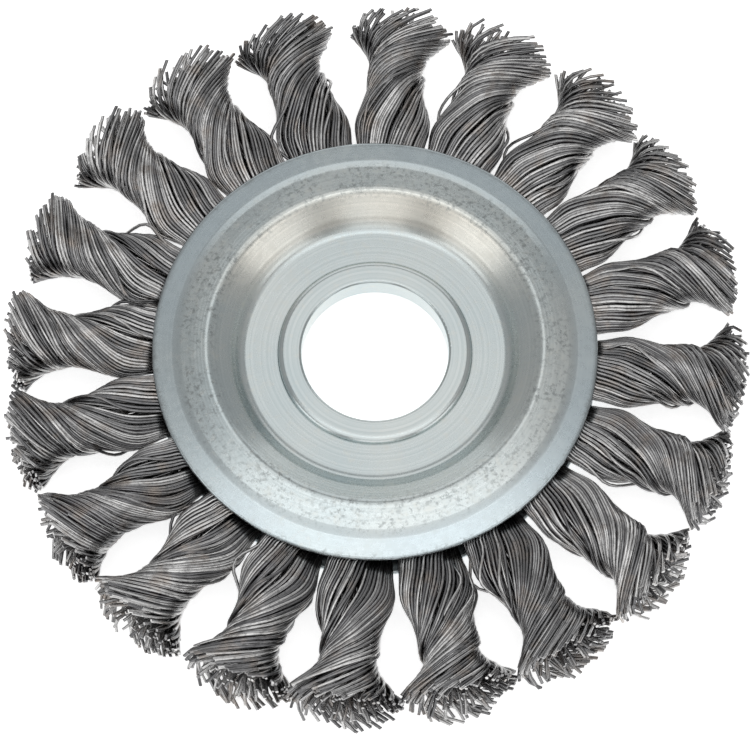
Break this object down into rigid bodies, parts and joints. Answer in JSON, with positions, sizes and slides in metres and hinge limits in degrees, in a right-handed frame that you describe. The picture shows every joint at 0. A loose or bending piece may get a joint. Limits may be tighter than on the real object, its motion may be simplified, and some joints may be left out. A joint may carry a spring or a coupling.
{
  "type": "wire wheel brush",
  "caption": "Round wire wheel brush with twisted steel-wire knots held between two dished, zinc-plated cover plates around a central bore.",
  "frame": {"origin": "centre of the bore, halfway through the wheel's thickness", "axes": "+Z along the bore axis, out of the front plate; X and Y in the plane of the wheel"},
  "size_m": [0.1126, 0.1126, 0.014],
  "materials": {
    "plated_steel": "zinc plated, satin",
    "plated_eyelet": "zinc plated, satin",
    "holder_steel": "bare rolled steel",
    "steel_wire": "bare drawn wire"
  },
  "bodies": {
    "root": {"front_plate": "plated_steel", "back_plate": "plated_steel", "bore_eyelet": "plated_eyelet", "knot_holder": "holder_steel", "knot_01": "steel_wire", "knot_02": "steel_wire", "knot_03": "steel_wire", "knot_04": "steel_wire", "knot_05": "steel_wire", "knot_06": "steel_wire", "knot_07": "steel_wire", "knot_08": "steel_wire", "knot_09": "steel_wire", "knot_10": "steel_wire", "knot_11": "steel_wire", "knot_12": "steel_wire", "knot_13": "steel_wire", "knot_14": "steel_wire", "knot_15": "steel_wire", "knot_16": "steel_wire", "knot_17": "steel_wire", "knot_18": "steel_wire", "knot_19": "steel_wire", "knot_20": "steel_wire"}
  },
  "joints": []
}
